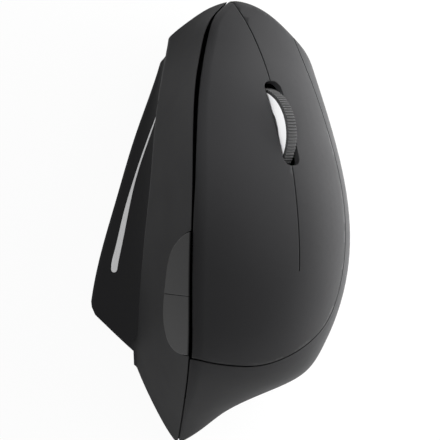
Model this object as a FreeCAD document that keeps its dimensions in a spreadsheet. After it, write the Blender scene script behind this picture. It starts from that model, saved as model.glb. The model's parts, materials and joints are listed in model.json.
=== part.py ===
"""Vertical (handshake) wireless mouse, built in millimetres.

Frame: +Y to the nose, +X to the palm side, +Z up, origin at the middle of the footprint on the table.
"""
import FreeCAD
import Part
import Sketcher
import functools
import math
import os
import re
from FreeCAD import Placement, Rotation, Vector

UP = Vector(0, 0, 1)
FORWARD = Vector(0, 1, 0)
# Past the body on every side, well into it, and just outside its skin
FAR = 200.0
BODY_REACH = 50.0
PAST_SKIN = 2.0

# Driving dimensions in millimetres and degrees
SIZES = {
    # Housing
    "body_length": 120.0,
    "body_width": 71.6,
    "body_height": 64.0,
    "ridge_band": 3.8,
    "crease_rounding": 1.6,
    "hem_rounding": 0.9,
    "nose_setback": 5.0,
    "palm_tilt": 48.0,
    "wall": 2.0,
    "rim_height": 1.0,
    "feet_height": 0.7,
    "plate_thickness": 1.8,
    "fit_gap": 0.2,
    "join": 0.2,
    "lap_depth": 0.6,
    "lap_reach": 3.0,
    "lap_gap": 0.1,
    "seam_gap": 0.33,
    "key_clearance": 1.2,
    "cover_floor": 19.0,
    "frame_wall": 1.6,
    "frame_reach": 20.0,
    "spine_reach": 2.5,
    "frame_drop": 1.0,
    "leg_side": 4.0,
    "leg_length": 6.0,
    # Wheel
    "wheel_radius": 12.5,
    "wheel_width": 3.2,
    "wheel_proud": 3.2,
    "wheel_turn": 1.0,
    "tyre_depth": 0.8,
    "tyre_shoulder": 0.25,
    "rim_depth": 3.0,
    "hub_radius": 2.2,
    "web_offset": 1.2,
    "web_thickness": 1.2,
    "axle_radius": 1.0,
    "bearing_gap": 0.05,
    "slot_length": 23.6,
    "slot_side_gap": 1.25,
    "slot_rounding": 2.3,
    "carrier_wall": 1.6,
    "carrier_gap": 1.5,
    "carrier_half": 15.2,
    "carrier_ride": 1.1,
    "rail_height": 2.0,
    "cheek_half": 3.0,
    "cheek_above": 2.2,
    "pin_radius": 1.0,
    "pin_inset": 1.0,
    "pin_below": 2.5,
    "arm_half": 1.5,
    "arm_reach": 2.0,
    # Boards and switches
    "board_depth": 15.5,
    "board_thickness": 1.2,
    "key_switch_length": 10.0,
    "key_switch_width": 5.8,
    "key_switch_height": 6.5,
    "left_switch_across": -10.0,
    "right_switch_across": 13.5,
    "key_switch_ahead": 8.0,
    "plunger_side": 1.6,
    "plunger_depth": 1.6,
    "plunger_height": 0.8,
    "press_gap": 0.05,
    "post_radius": 1.5,
    "small_switch_length": 6.0,
    "small_switch_width": 6.0,
    "small_switch_height": 3.1,
    "thumb_board_depth": 10.0,
    "thumb_switch_length": 8.0,
    "thumb_switch_width": 5.8,
    "thumb_switch_height": 4.8,
    "thumb_switch_spread": 8.0,
    "encoder_side": 10.0,
    "encoder_thickness": 4.2,
    "standoff": 1.8,
    "chip_side": 7.0,
    "chip_height": 0.9,
    "sensor_length": 9.9,
    "sensor_width": 9.1,
    "sensor_height": 2.2,
    "lens_length": 11.6,
    "lens_width": 9.6,
    "lens_eye_radius": 2.5,
    "lens_eye_depth": 0.8,
    "ribbon_width": 7.0,
    "ribbon_thickness": 0.4,
    # Thumb buttons and strip
    "button_proud": 0.6,
    "button_ridge_gap": 0.1,
    "button_inside": 0.9,
    "button_split": 0.16,
    "button_window_depth": 3.9,
    "button_room_depth": 6.0,
    "flange_reach": 1.2,
    "strip_thickness": 0.8,
    "strip_fit": 0.05,
    # Battery, receiver and power switch
    "cell_radius": 5.2,
    "cell_length": 44.5,
    "cell_pitch": 11.0,
    "cell_nub_radius": 1.9,
    "cell_nub": 0.9,
    "contact_thickness": 0.4,
    "contact_gap": 1.4,
    "contact_half_width": 3.6,
    "contact_foot": 0.6,
    "contact_top_gap": 0.3,
    "leaf_half": 1.2,
    "cell_side_gap": 0.4,
    "cell_floor_gap": 0.3,
    "bay_wall": 1.2,
    "bay_height": 7.5,
    "door_thickness": 1.6,
    "door_gap": 0.25,
    "grip_start": 4.0,
    "grip_pitch": 1.6,
    "grip_width": 0.7,
    "grip_half_length": 6.0,
    "grip_depth": 0.35,
    "receiver_width": 14.5,
    "receiver_length": 6.5,
    "receiver_height": 6.0,
    "plug_width": 12.0,
    "plug_length": 12.5,
    "plug_height": 4.5,
    "pocket_gap": 0.3,
    "pocket_wall": 1.0,
    "power_length": 9.0,
    "power_width": 4.2,
    "power_height": 3.6,
    "knob_length": 2.0,
    "knob_width": 1.8,
    "knob_travel": 2.2,
    # Screws and bosses
    "boss_radius": 3.0,
    "boss_top": 10.0,
    "boss_rib": 1.6,
    "boss_rib_reach": 8.0,
    "standoff_radius": 1.8,
    "screw_radius": 0.9,
    "screw_head_radius": 1.9,
    "screw_head_height": 1.2,
    "screw_sink": 0.1,
    "cross_reach": 1.1,
    "cross_half": 0.2,
    "cross_depth": 0.6,
    "screw_top": 4.4,
    "board_screw_length": 3.0,
    "column_radius": 2.2,
}

# The body's guide curves, nose to tail: stations along the length, then places across the width and up the
# height, all in percent of the overall sizes
RIDGE = [(56, 8.5, 26), (50, 3.3, 43), (46, -2.4, 54), (41, -5.4, 62), (33, -7.7, 75), (20, -8.9, 88),
         (6, -9.1, 96.6), (-3, -9.5, 98), (-15.5, -9.9, 92), (-27.5, -10.5, 76), (-39, -12.8, 44),
         (-50.5, -16, 3.5)]
WIDEST = [(56, 24, 20), (45, 31, 23.5), (34, 37.1, 25), (18, 45, 28), (-3, 50.0, 29.5), (-17, 46.8, 27),
          (-29, 38.9, 21), (-36, 27.5, 14), (-41.2, 8.5, 7.5), (-47, -5.3, 4), (-50.5, -14.2, 3.2)]
PALM_FOOT = [(56, 19, 0), (45, 24, 0), (34, 29.5, 0), (18, 38, 0), (-3, 42.5, 0), (-17, 39.5, 0),
             (-29, 31.5, 0), (-36, 20.5, 0), (-41.2, 3, 0), (-47, -8.5, 0), (-50.5, -15.0, 0)]
CREASE = [(56, -17, 30), (43, -19, 31), (27, -23.4, 38), (10, -25.8, 45.5), (-2, -28, 43.5), (-10, -29.5, 36),
          (-18, -30.8, 26), (-25, -31.8, 15), (-31, -32.6, 4), (-40, -32, -12), (-50.5, -27, -19)]
SKIRT = [(56, -20, 6), (40, -22, 5.2), (21, -32.7, 5), (6, -40.2, 5), (-8, -46.8, 5), (-18, -50, 5),
         (-31, -51, 4), (-40, -50, -14), (-50.5, -46, -24)]


def write_sizes(document, sizes):
    """Put the driving dimensions in a sheet of the document."""
    sheet = document.addObject("Spreadsheet::Sheet", "Sizes")
    for row, (alias, value) in enumerate(sizes.items(), start=1):
        sheet.set(f"A{row}", alias)
        sheet.set(f"B{row}", str(value))
        sheet.setAlias(f"B{row}", alias)
    document.recompute()
    return sheet


doc = FreeCAD.newDocument("vertical_mouse")
sheet = write_sizes(doc, SIZES)


def size(expression):
    """The value of a driving dimension, or of a sum of them."""
    return float(sheet.evalExpression(expression))


def linked(expression):
    """The same expression as another object of the document writes it."""
    return re.sub("[a-z_]+", lambda word: "Sizes." + word.group() if word.group() in SIZES else word.group(),
                  expression)


# The body's outer form
class Guide:
    """A smooth line along the body: place across and height at each station, in millimetres."""

    def __init__(self, points):
        stations = [-point[0] for point in points]
        self.curves = []
        for column in (1, 2):
            curve = Part.BSplineCurve()
            spots = [Vector(-point[0], point[column], 0) for point in points]
            curve.interpolate(Points=spots, Parameters=stations)
            self.curves.append(curve)

    def at(self, y):
        """Place across and height at this distance along the body."""
        station = -100.0 * y / size("body_length")
        across, up = (curve.value(station).y for curve in self.curves)
        return across * size("body_width") / 100.0, up * size("body_height") / 100.0


ridge = Guide(RIDGE)
widest = Guide(WIDEST)
palm_foot = Guide(PALM_FOOT)
crease = Guide(CREASE)
skirt = Guide(SKIRT)

UNDERGROUND = -20.0
TAIL_STATION = -50.45
FRONT_STATION = 55.5
STATION_STEPS = 28
PALM_FALL = math.radians(20.0)
# A deep inset keeps at least this share of the ridge's rounding
SHARPEST_RIDGE = 0.12
# The hollow ends this many depths before the tail's tip, where the body is too slim for it
TAIL_TAPER = 1.3
# Poles of one section in order round it: where each patch starts and how many poles it has
PATCHES = {"band": (0, 4), "palm": (3, 4), "under": (6, 4), "drop": (9, 2), "floor": (10, 2), "rise": (11, 2),
           "hem": (12, 4), "scoop": (15, 4), "crease": (18, 4), "wall": (21, 4)}
ROUNDNESS = 0.55


def meeting_point(start, along, other, other_along):
    """Where two lines in the section cross, each given by a point and a direction."""
    turn = along[0] * other_along[1] - along[1] * other_along[0]
    gap = (other[0] - start[0], other[1] - start[1])
    share = (gap[0] * other_along[1] - gap[1] * other_along[0]) / turn
    return start[0] + share * along[0], start[1] + share * along[1]


def inset_poles(poles, depth):
    """The closed polygon of poles moved inwards by the depth, corners mitred."""
    moved = []
    count = len(poles)
    pairs = zip(poles, poles[1:] + poles[:1])
    area = sum(first[0] * second[1] - second[0] * first[1] for first, second in pairs)
    depth = math.copysign(depth, -area) if depth > 0 else math.copysign(depth, area)
    for index, pole in enumerate(poles):
        before = poles[index - 1]
        after = poles[(index + 1) % count]
        normals = []
        for start, end in ((before, pole), (pole, after)):
            run = (end[0] - start[0], end[1] - start[1])
            length = math.hypot(run[0], run[1])
            normals.append((run[1] / length, -run[0] / length))
        (first_x, first_z), (second_x, second_z) = normals
        share = depth / (1.0 + first_x * second_x + first_z * second_z)
        moved.append((pole[0] + share * (first_x + second_x), pole[1] + share * (first_z + second_z)))
    return moved


def between(start, end, share):
    """The point this share of the way from start to end."""
    return start[0] + share * (end[0] - start[0]), start[1] + share * (end[1] - start[1])


def rounded_corner(before, corner, after, reach_before, reach_after):
    """Four poles that round a corner between its neighbours, starting and ending at the reaches from it."""
    start = between(corner, before, reach_before / math.dist(corner, before))
    end = between(corner, after, reach_after / math.dist(corner, after))
    return [start, between(start, corner, ROUNDNESS), between(end, corner, ROUNDNESS), end]


def section_poles(y, depth):
    """Poles (x, z) of the section at y, moved in by the depth, from the ridge round by the palm side."""
    ridge_point = ridge.at(y)
    side = widest.at(y)
    foot = (palm_foot.at(y)[0], 0.0)
    edge = crease.at(y)
    hem = skirt.at(y)
    band = size("ridge_band") * min(1.0, max(0.15, ridge_point[1] / 40.0))
    shoulder = (ridge_point[0] + band, ridge_point[1] + 0.33 * band)
    chord = math.dist(side, shoulder)
    palm_fall = (math.cos(PALM_FALL), -math.sin(PALM_FALL))
    wall_rise = (ridge_point[0] - edge[0], ridge_point[1] - edge[1])
    corner = meeting_point(ridge_point, wall_rise, shoulder, palm_fall)
    palm_start = (shoulder[0] + 0.40 * chord * palm_fall[0], shoulder[1] + 0.40 * chord * palm_fall[1])
    palm_end = (side[0], side[1] + 0.36 * chord)
    under_start = (side[0], 0.62 * side[1])
    under_end = (foot[0] + 0.25 * (side[0] - foot[0]), 0.25 * side[1])
    flare = edge[0] - hem[0]
    drop = edge[1] - hem[1]
    hollow = drop / (abs(drop) + 6.0)
    scoop_low = (hem[0] + flare * (0.33 + 1.1 * hollow), hem[1] + 0.15 * drop)
    scoop_high = (edge[0] + flare * (0.87 * hollow - 0.33), edge[1] - 0.42 * drop)
    wall_low = between(edge, ridge_point, 0.33)
    wall_high = between(edge, ridge_point, 0.67)
    outer = [corner, palm_start, palm_end, side, under_start, under_end, foot, (foot[0], UNDERGROUND),
             (hem[0], UNDERGROUND), hem, scoop_low, scoop_high, edge, wall_low, wall_high]
    inner = inset_poles(outer, depth)
    turn = math.atan2(wall_rise[1], wall_rise[0]) + PALM_FALL
    left = max(SHARPEST_RIDGE, 1.0 - depth * math.tan(turn / 2.0) / math.dist(corner, shoulder))
    ridge_poles = rounded_corner(inner[-1], inner[0], inner[1], left * math.dist(corner, ridge_point),
                                 left * math.dist(corner, shoulder))
    hem_poles = rounded_corner(inner[8], inner[9], inner[10], size("hem_rounding"), size("hem_rounding"))
    crease_poles = rounded_corner(inner[11], inner[12], inner[13], size("crease_rounding"),
                                  size("crease_rounding"))
    return ridge_poles + inner[1:9] + hem_poles + inner[10:12] + crease_poles + inner[13:]


def patch(rows, stations):
    """A face through one patch's poles at all stations: smooth along the body, Bezier across it."""
    curves = []
    for column in range(len(rows[0])):
        curve = Part.BSplineCurve()
        curve.interpolate(Points=[row[column] for row in rows], Parameters=stations)
        curves.append(curve)
    poles = [list(column) for column in zip(*[curve.getPoles() for curve in curves])]
    count = len(rows[0])
    surface = Part.BSplineSurface()
    surface.buildFromPolesMultsKnots(poles, curves[0].getMultiplicities(), [count, count],
                                     curves[0].getKnots(), [0.0, 1.0], False, False, 3, count - 1)
    return surface.toShape()


def end_cap(rows_at_end):
    """A flat face across one end of the body."""
    edges = []
    for poles in rows_at_end:
        curve = Part.BezierCurve()
        curve.setPoles(poles)
        edges.append(curve.toShape())
    return Part.Face(Part.Wire(Part.__sortEdges__(edges)))


def solid_of(faces):
    """One solid from faces that close on each other."""
    shell = Part.makeShell(faces)
    shell.sewShape()
    solid = Part.Solid(shell)
    if solid.Volume < 0:
        solid.reverse()
    return solid


def tube(depth):
    """The body's sections, moved in by the depth, joined from the tail to beyond the nose."""
    rear = TAIL_STATION + TAIL_TAPER * max(0.0, depth) * 100.0 / size("body_length")
    stations = [rear + (FRONT_STATION - rear) * step / STATION_STEPS for step in range(STATION_STEPS + 1)]
    rows = {name: [] for name in PATCHES}
    for station in stations:
        y = station * size("body_length") / 100.0
        poles = [Vector(x, y, z) for x, z in section_poles(y, depth)]
        poles.append(poles[0])
        for name, (start, count) in PATCHES.items():
            rows[name].append(poles[start:start + count])
    faces = [patch(rows[name], stations) for name in PATCHES]
    faces.append(end_cap([rows[name][0] for name in PATCHES]))
    faces.append(end_cap([rows[name][-1] for name in PATCHES]))
    return solid_of(faces)


# Plan of the nose, from the palm side over the tip to the thumb side, in percent of width and length
NOSE = [(64, 22), (44, 27), (38.5, 34), (33.5, 39.3), (28, 42.5), (18, 47.6), (6.5, 50.2), (-3.5, 48.7),
        (-11.5, 45.8), (-18.6, 43.4), (-28, 39.5), (-42, 33), (-64, 22)]
# How far the nose's front face stands back at each height, as a share of the full setback
NOSE_PROFILE = [(-25.0, 1.25), (0.0, 1.0), (10.0, 0.55), (22.0, 0.12), (34.0, 0.0), (80.0, 0.0)]
# Plan of the rest's rear edge, in percent of width and length
REST_REAR = [(-64, -16.5), (-50.2, -16.5), (-49.6, -19.0), (-48.2, -20.8), (-33.2, -29.2)]


def plan_points(outline, depth):
    """Outline given in percent of width and length, as points in millimetres moved in by the depth."""
    points = [(x * size("body_width") / 100.0, y * size("body_length") / 100.0) for x, y in outline]
    closing = [(points[-1][0], -FAR), (points[0][0], -FAR)]
    return inset_poles(points + closing, depth)[:len(points)]


def smooth_wire(points, closing):
    """Closed wire: a smooth curve through the points, then straight lines through the closing corners."""
    curve = Part.BSplineCurve()
    curve.interpolate(Points=points)
    corners = [points[-1]] + closing + [points[0]]
    lines = [Part.makeLine(start, end) for start, end in zip(corners, corners[1:])]
    return Part.Wire([curve.toShape()] + lines)


def nose_wire(depth, height, setback):
    """Closed wire at one height that holds the whole body in plan, its front edge the nose's arc."""
    points = [Vector(x, y - setback, height) for x, y in plan_points(NOSE, depth)]
    return smooth_wire(points, [Vector(points[-1].x, -FAR, height), Vector(points[0].x, -FAR, height)])


def nose_block(depth):
    """Solid whose front face is the nose's, standing back towards the table."""
    setback = size("nose_setback")
    return Part.makeLoft([nose_wire(depth, height, share * setback) for height, share in NOSE_PROFILE], True)


def upright(points, low, high):
    """Straight-sided solid on a polygon of (x, y) corners."""
    corners = [Vector(x, y, low) for x, y in points]
    return Part.Face(Part.makePolygon(corners + corners[:1])).extrude(UP * (high - low))


def rest_rear_block(depth):
    """What is cut away behind the thumb rest, so that the rest ends in a slanted edge."""
    corners = [(x * size("body_width") / 100.0, y * size("body_length") / 100.0) for x, y in REST_REAR]
    moved = inset_poles(corners + [(corners[-1][0], -FAR), (-FAR, -FAR)], depth)
    return upright(moved, UNDERGROUND - FAR, FAR)


def slab(low, high):
    """Everything between two heights."""
    return Part.makeBox(2 * FAR, 2 * FAR, high - low, Vector(-FAR, -FAR, low))


@functools.lru_cache(maxsize=None)
def body(depth):
    """The body's form above the table, moved in by the depth on every side but the bottom."""
    whole = tube(depth).common(nose_block(depth)).cut(rest_rear_block(-depth))
    return whole.common(slab(0, FAR))


def layer(outside, inside):
    """The skin of the body between two depths."""
    return body(outside).cut(body(inside))


# Frames that lie on the body
def palm_poles(y):
    """The palm patch's poles of the outer section at y."""
    return section_poles(y, 0)[3:7]


def bezier(poles, share):
    """A point of a cubic Bezier curve in the section."""
    rest = 1.0 - share
    weights = (rest ** 3, 3 * rest * rest * share, 3 * rest * share * share, share ** 3)
    return tuple(sum(weight * pole[axis] for weight, pole in zip(weights, poles)) for axis in (0, 1))


def palm_spot(x, y):
    """The point of the palm surface over the plan place x, y."""
    poles = palm_poles(y)
    low, high = 0.0, 1.0
    for _ in range(40):
        middle = (low + high) / 2.0
        if bezier(poles, middle)[0] < x:
            low = middle
        else:
            high = middle
    return Vector(x, y, bezier(poles, low)[1])


def wall_spot(y, drop):
    """The point of the thumb wall at y, this far below the ridge measured on the wall."""
    top = ridge.at(y)
    edge = crease.at(y)
    x, z = between(top, edge, drop / math.dist(top, edge))
    return Vector(x, y, z)


def frame_at(origin, out, ahead):
    """Placement with its origin there, Z along out and Y as near to ahead as can be."""
    across = ahead.cross(out)
    return Placement(origin, Rotation(across, out.cross(across), out, "ZXY"))


def local_points(frame, points):
    """Points of the body as (x, y) in a frame's own plane."""
    back = frame.inverse()
    moved = [back.multVec(point) for point in points]
    return [(point.x, point.y) for point in moved]


def outline_block(frame, smooth, closing, low, high, grow=0.0):
    """Straight-sided solid in a frame: a smooth outline closed by corners, from low to high, grown."""
    moved = inset_poles(smooth + closing, -grow)
    points = [Vector(x, y, low) for x, y in moved]
    wire = smooth_wire(points[:len(smooth)], points[len(smooth):])
    solid = Part.Face(wire).extrude(UP * (high - low))
    solid.Placement = frame
    return solid


def seam_gap_at(y):
    """Width of the open seam along the ridge, which is widest beside the keys."""
    share = 100.0 * y / size("body_length")
    for (low, first), (high, second) in zip(SEAM_GAPS, SEAM_GAPS[1:]):
        if share <= high:
            blend = min(1.0, max(0.0, (share - low) / (high - low)))
            return first + (second - first) * blend * blend * (3.0 - 2.0 * blend)
    return SEAM_GAPS[-1][1]


def thumb_side(offset, opened=False):
    """Everything on the thumb side of an upright sheet along the ridge, offset or by the open gap."""
    half = 0.56 * size("body_length")
    places = [half - 2 * half * step / SEAM_STEPS for step in range(SEAM_STEPS + 1)]
    edge = [Vector(ridge.at(y)[0] + (seam_gap_at(y) if opened else offset), y, -FAR) for y in places]
    wire = smooth_wire(edge, [Vector(-FAR, -half, -FAR), Vector(-FAR, half, -FAR)])
    return Part.Face(wire).extrude(UP * (2 * FAR))


def ahead_of(y):
    """Everything nearer to the nose than y."""
    return Part.makeBox(2 * FAR, FAR, 2 * FAR, Vector(-FAR, y, -FAR))


def column(x, y, radius, low, high):
    """Upright round bar."""
    return Part.makeCylinder(radius, high - low, Vector(x, y, low))


def bar(frame, x, y, radius, low, high):
    """Round bar standing in a frame."""
    solid = Part.makeCylinder(radius, high - low, Vector(x, y, low))
    solid.Placement = frame
    return solid


def brick(frame, x_range, y_range, z_range):
    """Straight block in a frame, given by its limits."""
    corner = Vector(x_range[0], y_range[0], z_range[0])
    solid = Part.makeBox(x_range[1] - x_range[0], y_range[1] - y_range[0], z_range[1] - z_range[0], corner)
    solid.Placement = frame
    return solid


def plan(x_share, y_share):
    """Plan place in millimetres from percent of width and length."""
    return x_share * size("body_width") / 100.0, y_share * size("body_length") / 100.0


SEAM_STEPS = 24
# Where the wide seam of the cover narrows to the nose, in shares of the length
# Width of the open seam along the ridge: percent of the length, and millimetres
SEAM_GAPS = [(-33, 0.8), (-12, 0.52), (0, 0.45), (14, 0.85), (24, 1.1), (34, 1.25), (41, 1.2), (47, 0.62)]
HERE = Placement()
TILT = math.radians(size("palm_tilt"))
PALM_OUT = Vector(math.sin(TILT), 0, math.cos(TILT))
PALM_FRAME = frame_at(Vector(0, 0, 0), PALM_OUT, FORWARD)

# The wheel's place in plan, in percent of width and length
WHEEL_PLACE = (23.4, 22.4)
# The middle of the thumb buttons: percent of the length, and millimetres below the ridge
BUTTON_STATION = -14.6
BUTTON_DROP = 12.0


def surface_out(spot_at, first, second, step=0.5):
    """Outward direction of a surface given by spot_at(first, second)."""
    along = spot_at(first + step, second) - spot_at(first - step, second)
    other = spot_at(first, second + step) - spot_at(first, second - step)
    out = along.cross(other)
    return out.normalize()


def finger_frame():
    """Frame on the palm surface under the wheel: X along the axle, Y along the wheel, Z outwards."""
    x, y = plan(*WHEEL_PLACE)
    out = surface_out(palm_spot, x, y)
    straight = frame_at(palm_spot(x, y), out, FORWARD)
    return straight.multiply(Placement(Vector(0, 0, 0), Rotation(UP, size("wheel_turn"))))


def wall_frame():
    """Frame on the thumb wall in the middle of the buttons: X up the wall, Y ahead, Z outwards."""
    y = BUTTON_STATION * size("body_length") / 100.0
    out = surface_out(wall_spot, y, BUTTON_DROP)
    return frame_at(wall_spot(y, BUTTON_DROP), out, FORWARD)


FINGER = finger_frame()
THUMB = wall_frame()


# Document objects
parts = []


def keep(thing, label, frame=HERE):
    """Give a finished sub-part its own label and place."""
    thing.Label = label
    thing.Placement = frame
    parts.append(thing)
    return thing


def shaped(label, shape):
    """Sub-part whose shape is cut and joined from the body's form."""
    thing = doc.addObject("Part::Feature", label)
    thing.Shape = shape
    thing.Label = label
    parts.append(thing)
    return thing


def linked_sketch(part_body, role, loops):
    """Sketch of closed loops of straight lines, each corner held by the sheet's sizes."""
    sketch = part_body.newObject("Sketcher::SketchObject", part_body.Name + "_profile")
    plane = next(feature for feature in part_body.Origin.OriginFeatures if feature.Role == role)
    sketch.AttachmentSupport = (plane, "")
    sketch.MapMode = "FlatFace"
    first = 0
    for corners in loops:
        spots = [Vector(size(across), size(up), 0) for across, up in corners]
        count = len(spots)
        for index in range(count):
            sketch.addGeometry(Part.LineSegment(spots[index], spots[(index + 1) % count]))
        for index in range(count):
            following = first + (index + 1) % count
            sketch.addConstraint(Sketcher.Constraint("Coincident", first + index, 2, following, 1))
        for index, corner in enumerate(corners):
            for kind, expression, axis in (("DistanceX", corner[0], -2), ("DistanceY", corner[1], -1)):
                if expression == "0":
                    sketch.addConstraint(Sketcher.Constraint("PointOnObject", first + index, 1, axis))
                    continue
                held = Sketcher.Constraint(kind, -1, 1, first + index, 1, size(expression))
                number = sketch.addConstraint(held)
                sketch.setExpression(f"Constraints[{number}]", linked(expression))
        first += count
    return sketch


def padded(label, loops, thickness, frame=HERE):
    """Flat plate: a profile padded upwards by its thickness."""
    part_body = doc.addObject("PartDesign::Body", label)
    sketch = linked_sketch(part_body, "XY_Plane", loops)
    pad = part_body.newObject("PartDesign::Pad", label + "_pad")
    pad.Profile = sketch
    pad.setExpression("Length", linked(thickness))
    return keep(part_body, label, frame)


def turned(label, corners, frame=HERE):
    """Round piece: a profile of (radius, height) corners turned about Z."""
    part_body = doc.addObject("PartDesign::Body", label)
    sketch = linked_sketch(part_body, "YZ_Plane", [corners])
    turn = part_body.newObject("PartDesign::Revolution", label + "_turn")
    turn.Profile = sketch
    turn.ReferenceAxis = (sketch, ["V_Axis"])
    turn.Angle = 360
    return keep(part_body, label, frame)


def rectangle(x_low, x_high, y_low, y_high):
    """The four corners of a rectangle, as expressions."""
    return [(x_low, y_low), (x_high, y_low), (x_high, y_high), (x_low, y_high)]


def block(label, length, width, height, frame, x, y, z):
    """Box bound to the sheet, centred on x and y in a frame and standing on z."""
    box = doc.addObject("Part::Box", label)
    for name, expression in (("Length", length), ("Width", width), ("Height", height)):
        box.setExpression(name, linked(expression))
    corner = Placement(Vector(x - size(length) / 2.0, y - size(width) / 2.0, z), Rotation())
    return keep(box, label, frame.multiply(corner))


# Lines drawn on the housing, in percent of width and length
COVER_EDGE = [(-10.5, -27.9), (-4.5, -28.9), (-1.3, -29.4), (8, -30.3), (17.2, -30.2), (26.5, -28.3),
              (35, -25), (40.8, -20.8), (44.4, -15.3), (46.4, -8.9), (47.2, -2.1), (46.4, 6), (42.3, 18),
              (35.4, 31), (28.2, 42), (22, 50)]
KEY_SPLIT = [(3.2, 52), (5.2, 49.8), (7.8, 47.6), (10.9, 44.3), (13.7, 40.7), (16.5, 36.3), (18.6, 32.1),
             (22.4, 22.7), (26.5, 13), (27.8, 6.8), (28.9, -1.9), (29.1, -9.8), (29.1, -14)]
KEY_ROOT = -9.6
# Thumb buttons: percent of the length, and millimetres below the ridge
BUTTON_EDGE = [(-1.3, -6), (-1.8, 3.9), (-2.8, 7.5), (-4.6, 12.0), (-6.7, 15.0), (-9.7, 17.0), (-13.2, 18.6),
               (-16.9, 19.8), (-20.2, 19.9), (-22.6, 18.7), (-25.4, 15.2), (-27.2, 8.9), (-27.6, 3.3),
               (-27.7, -6)]
STRIP_RIGHT = [(-23.0, 27.2), (-25.1, 23.3), (-28.3, 18.0), (-32.3, 10.6), (-35.7, 1.3), (-38.2, -6.1),
               (-39.4, -9.8)]
STRIP_END = [(-39.8, -10.6), (-40.7, -10.9), (-41.6, -10.7)]
STRIP_LEFT = [(-41.95, -9.8), (-40.7, -6.1), (-37.75, 1.3), (-33.25, 10.6), (-29.0, 18.0), (-25.6, 23.3)]


def cover_block(grow, lower):
    """What the cover takes of the palm side, seen square to it."""
    spots = [palm_spot(*plan(x, y)) for x, y in COVER_EDGE]
    edge = local_points(PALM_FRAME, spots)
    closing = [(edge[-1][0], FAR), (-FAR, FAR), (-FAR, edge[0][1])]
    return outline_block(PALM_FRAME, edge, closing, size("cover_floor") - lower, FAR, grow)


def split_side(grow):
    """Everything on the ridge side of the line between the two keys."""
    spots = [palm_spot(*plan(x, y)) for x, y in KEY_SPLIT]
    edge = local_points(PALM_FRAME, spots)
    closing = [(-FAR, edge[-1][1]), (-FAR, edge[0][1])]
    return outline_block(PALM_FRAME, edge, closing, -FAR, FAR, grow)


def wheel_slot():
    """The slot in the keys that the wheel stands out of."""
    half_length = size("slot_length") / 2.0
    half_width = size("wheel_width / 2 + slot_side_gap")
    rough = Part.makeBox(2 * half_width, 2 * half_length, 4 * half_length,
                         Vector(-half_width, -half_length, -half_length))
    sides = [edge for edge in rough.Edges if abs(edge.tangentAt(edge.FirstParameter).z) > 0.9]
    slot = rough.makeFillet(size("slot_rounding"), sides)
    slot.Placement = FINGER
    return slot


def button_block(grow, low, high):
    """The D-shaped outline of the thumb buttons, square to the thumb wall."""
    length = size("body_length")
    spots = [wall_spot(y * length / 100.0, drop) for y, drop in BUTTON_EDGE]
    edge = local_points(THUMB, spots)
    closing = [(FAR, edge[-1][1]), (FAR, edge[0][1])]
    return outline_block(THUMB, edge, closing, low, high, grow)


def strip_block(grow):
    """The silver strip's outline, seen from above."""
    edge = [plan(x, y) for x, y in STRIP_RIGHT + STRIP_END + STRIP_LEFT]
    return outline_block(HERE, edge, [], 0, FAR, grow)


# Where the base's screws go: percent of width and length, and which shell holds the boss
PALM_BOSSES = [(22.9, 33.3), (32.0, 20.2), (20.6, -31.6)]
THUMB_BOSSES = [(-19.4, 31.8), (-29.5, -12.0), (-19.2, -38.0)]


def with_bosses(shell, places, side):
    """Shell with screw bosses that stand on the base plate, each tied to the wall at its side by a rib."""
    plate_top = size("feet_height + plate_thickness")
    sink = size("feet_height + screw_sink + screw_head_height")
    for place in places:
        x, y = plan(*place)
        boss = column(x, y, size("boss_radius"), plate_top, size("boss_top"))
        across = sorted((x, x + side * size("boss_rib_reach")))
        along = (y - size("boss_rib / 2"), y + size("boss_rib / 2"))
        rib = brick(HERE, across, along, (plate_top, size("boss_top")))
        shell = shell.fuse(boss.fuse(rib).common(body(size("wall / 2"))))
    for place in places:
        x, y = plan(*place)
        shell = shell.cut(column(x, y, size("screw_radius + bearing_gap"), 0, size("screw_top + fit_gap")))
        shell = shell.cut(column(x, y, size("screw_head_radius + fit_gap"), 0, sink))
    return shell


# Where the shells lap under their seam: behind this at the tail, and ahead of and below these at the nose
TAIL_LAP = -46.0
NOSE_LAP = 40.0
NOSE_LAP_TOP = 21.0


def lap_room(grow):
    """The room of the tongues under the seam at the tail and at the nose, grown all round."""
    reach = thumb_side(size("lap_reach") + grow).common(body(size("lap_depth") - grow))
    tail = reach.cut(ahead_of(TAIL_LAP + grow))
    nose = reach.common(ahead_of(NOSE_LAP - grow)).common(slab(0, NOSE_LAP_TOP + grow))
    return tail.fuse(nose)


def make_thumb_shell():
    """Thumb side of the housing: wall, recess, rest, the tail's left half and the tongues under the seam."""
    shell = layer(0.0, size("wall")).common(thumb_side(0.0))
    tongues = layer(size("lap_depth"), size("wall")).common(lap_room(0.0))
    shell = shell.fuse(tongues).common(slab(size("rim_height"), FAR))
    room = button_block(size("seam_gap"), -size("button_window_depth"), FAR)
    groove = strip_block(size("strip_fit")).common(layer(-1.0, size("strip_thickness")))
    shell = with_bosses(shell.cut(room).cut(groove), THUMB_BOSSES, -1)
    for y in (-THUMB_POST_SPREAD, THUMB_POST_SPREAD):
        post = bar(THUMB, THUMB_POST_X, y, size("column_radius"), -size("thumb_board_depth"), PAST_SKIN)
        shell = shell.fuse(post.common(body(size("wall / 2"))))
        shell = shell.cut(bar(THUMB, THUMB_POST_X, y, size("screw_radius"), -FAR,
                              size("board_screw_length - thumb_board_depth")))
    shaped("thumb_shell", shell)


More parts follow.
